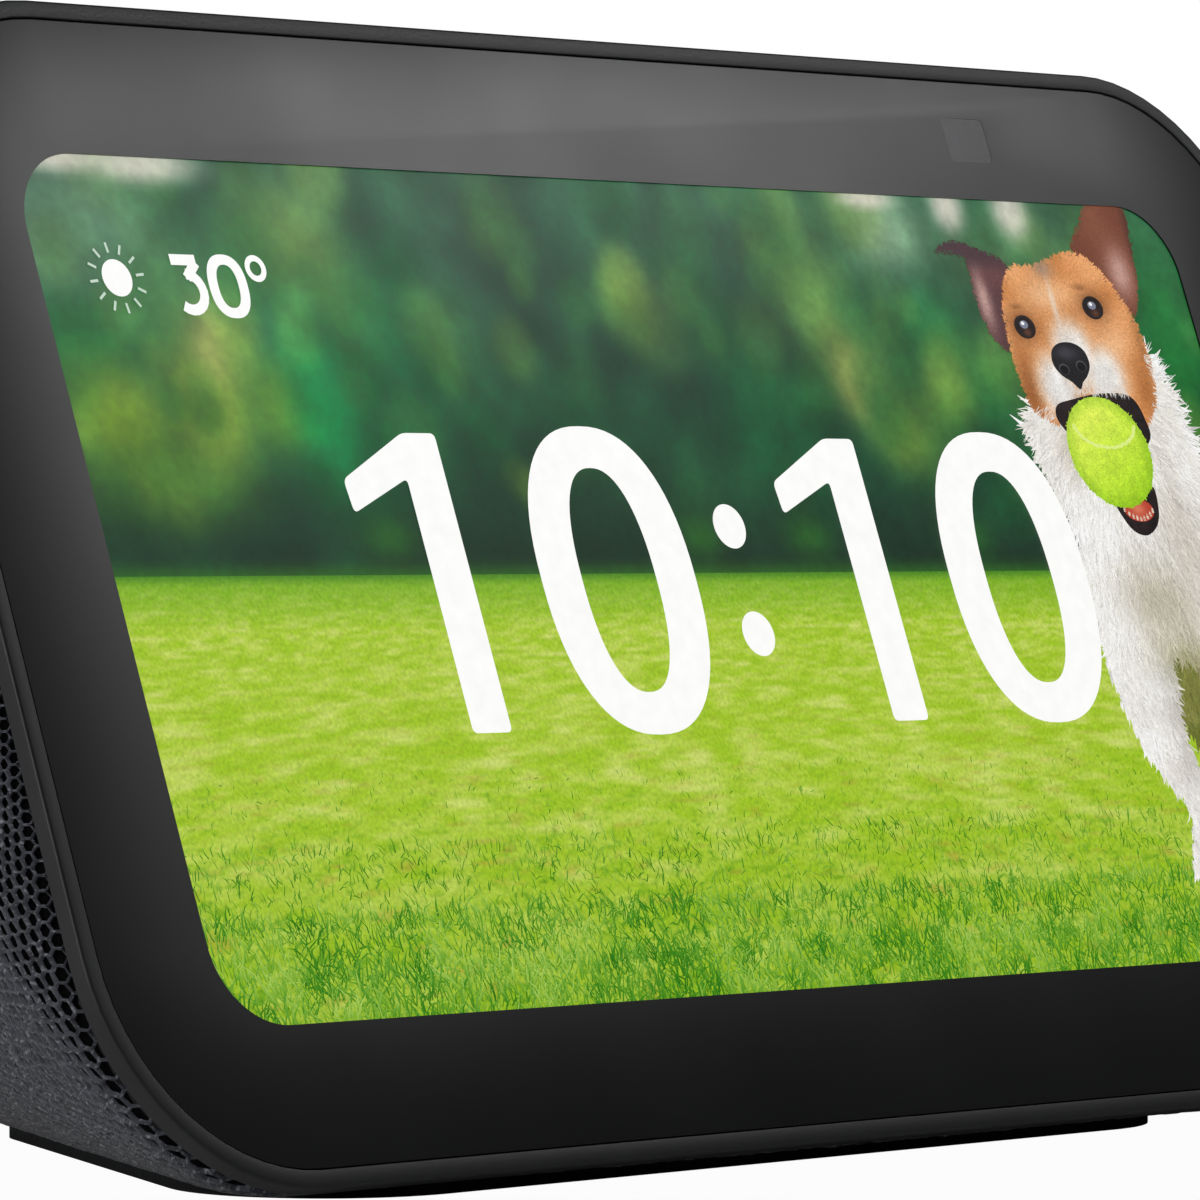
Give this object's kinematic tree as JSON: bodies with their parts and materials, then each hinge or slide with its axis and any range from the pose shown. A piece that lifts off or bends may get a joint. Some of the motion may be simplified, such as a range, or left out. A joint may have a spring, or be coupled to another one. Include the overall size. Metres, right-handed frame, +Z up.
{
  "type": "smart display",
  "caption": "Tabletop smart display with a tilted touch screen, a knitted wedge body, top buttons, a sliding camera shutter and a rear power inlet.",
  "frame": {"origin": "on the table, under the middle of the body's box", "axes": "+X across the screen, to the viewer's right; +Y from the screen to the back; +Z up"},
  "size_m": [0.147, 0.0909, 0.0817],
  "materials": {
    "cover_glass": "smooth black-printed cover glass",
    "black_plastic": "fine satin moulded, charcoal",
    "button_plastic": "fine satin moulded, charcoal",
    "inner_plastic": "plain moulded",
    "knit_fabric": "open knitted mesh, charcoal",
    "foot_rubber": "matte rubber",
    "foam": "black foam and adhesive",
    "screen_panel": "lit colour panel",
    "diffuser": "white reflector tray",
    "steel": "stamped sheet",
    "screw_steel": "plated screws",
    "aluminium": "plain sheet",
    "magnet": "nickel plated",
    "circuit_board": "green solder mask",
    "connector": "ivory moulded",
    "flex_film": "amber film",
    "thermal_silicone": "soft pad",
    "lens_glass": "coated lens",
    "speaker_paper": "coated paper cone",
    "speaker_rubber": "soft roll",
    "copper": "wound copper",
    "brass": "plated contact",
    "wire_sleeve": "insulated wire"
  },
  "bodies": {
    "housing": {"cover_glass": "cover_glass", "glass_adhesive": "foam", "face_frame": "black_plastic", "lcd_panel": "screen_panel", "backlight_unit": "diffuser", "display_foam": "foam", "display_bracket": "steel", "bracket_screws": "screw_steel", "camera_module": "inner_plastic", "camera_lens": "lens_glass", "camera_flex": "flex_film", "top_trim": "black_plastic", "top_board": "circuit_board", "tact_switches": "steel", "microphones": "brass", "top_board_screws": "screw_steel", "top_board_flex": "flex_film", "rear_shell": "inner_plastic", "fabric_sleeve": "knit_fabric", "base_plate": "inner_plastic", "rubber_foot": "foot_rubber", "base_screws": "screw_steel", "ballast_plate": "steel", "main_board": "circuit_board", "board_screws": "screw_steel", "board_connectors": "connector", "processor_shield": "steel", "radio_shield": "steel", "thermal_pad": "thermal_silicone", "heat_spreader": "aluminium", "wifi_antenna": "circuit_board", "display_flex": "flex_film", "touch_flex": "flex_film", "speaker_box": "inner_plastic", "speaker_basket": "steel", "speaker_gasket": "foam", "speaker_surround": "speaker_rubber", "speaker_magnet": "magnet", "speaker_yoke": "steel", "speaker_screws": "screw_steel", "speaker_wires": "wire_sleeve", "dc_jack": "inner_plastic", "jack_pin": "brass", "jack_board": "circuit_board", "inlet_bezel": "black_plastic", "power_cable": "wire_sleeve"},
    "volume_down": {"volume_down_button": "button_plastic"},
    "volume_up": {"volume_up_button": "button_plastic"},
    "mic_camera": {"mic_camera_button": "button_plastic"},
    "shutter": {"shutter_slider": "button_plastic"},
    "cone": {"speaker_cone": "speaker_paper", "voice_coil": "copper"}
  },
  "joints": [
    {"name": "volume_down_press", "type": "slide", "parent": "housing", "child": "volume_down", "axis": [0, -0.3437, -0.9391], "range_m": [0, 0.00035], "stiffness_N_per_m": 2000, "springref_m": -0.0002},
    {"name": "volume_up_press", "type": "slide", "parent": "housing", "child": "volume_up", "axis": [0, -0.3437, -0.9391], "range_m": [0, 0.00035], "stiffness_N_per_m": 2000, "springref_m": -0.0002},
    {"name": "mic_camera_press", "type": "slide", "parent": "housing", "child": "mic_camera", "axis": [0, -0.3437, -0.9391], "range_m": [0, 0.00035], "stiffness_N_per_m": 2000, "springref_m": -0.0002},
    {"name": "shutter_slide", "type": "slide", "parent": "housing", "child": "shutter", "axis": [-1, 0, 0], "range_m": [0, 0.0062]},
    {"name": "cone_travel", "type": "slide", "parent": "housing", "child": "cone", "axis": [0, 0.766, 0.6428], "range_m": [-0.001, 0.001], "stiffness_N_per_m": 1500}
  ]
}
